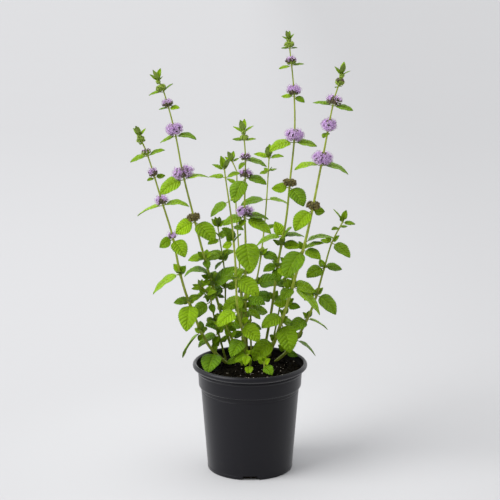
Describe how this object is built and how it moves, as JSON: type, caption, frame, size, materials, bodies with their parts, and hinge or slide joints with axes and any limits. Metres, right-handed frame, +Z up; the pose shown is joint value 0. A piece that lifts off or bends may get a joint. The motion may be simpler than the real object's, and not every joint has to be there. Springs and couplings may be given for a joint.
{
  "type": "potted mint plant",
  "caption": "Flowering mint in a black plastic nursery pot: a fan of square leafy stems with opposite toothed leaves and lilac flower whorls, standing in dark potting soil.",
  "frame": {"origin": "middle of the pot's flat underside, on the surface that it stands on", "axes": "+Z up along the pot axis, -Y towards the front of the clump, +X to its right"},
  "size_m": [0.248, 0.1499, 0.4951],
  "materials": {
    "pot": "satin black moulded plastic with a soft sheen",
    "soil": "dark moist peat mix with pale grit",
    "foliage": "fresh yellow-green leaves, satin above and paler below, on olive stems",
    "flowers": "soft lilac florets with fine stamens",
    "buds": "green-brown cups with purple tips",
    "seed_heads": "dry olive-brown cups, matt"
  },
  "bodies": {
    "root": {"pot": "pot", "soil": "soil", "stem_a": "foliage", "stem_b": "foliage", "stem_c": "foliage", "stem_d": "foliage", "stem_e": "foliage", "stem_f": "foliage", "stem_g": "foliage", "stem_h": "foliage", "stem_k": "foliage", "stem_m": "foliage", "stem_s": "foliage", "stem_n": "foliage", "stem_o": "foliage", "stem_p": "foliage", "stem_q": "foliage", "stem_r": "foliage", "whorl_a_268": "flowers", "whorl_a_307": "flowers", "whorl_a_339": "flowers", "whorl_a_363": "buds", "whorl_b_277": "seed_heads", "whorl_b_326": "flowers", "whorl_b_375": "flowers", "whorl_b_407": "flowers", "whorl_c_293": "flowers", "whorl_c_338": "flowers", "whorl_c_358": "buds", "whorl_d_318": "seed_heads", "whorl_d_369": "flowers", "whorl_d_421": "flowers", "whorl_d_455": "buds", "whorl_e_301": "seed_heads", "whorl_e_352": "flowers", "whorl_e_390": "flowers", "whorl_e_419": "flowers"}
  },
  "joints": []
}
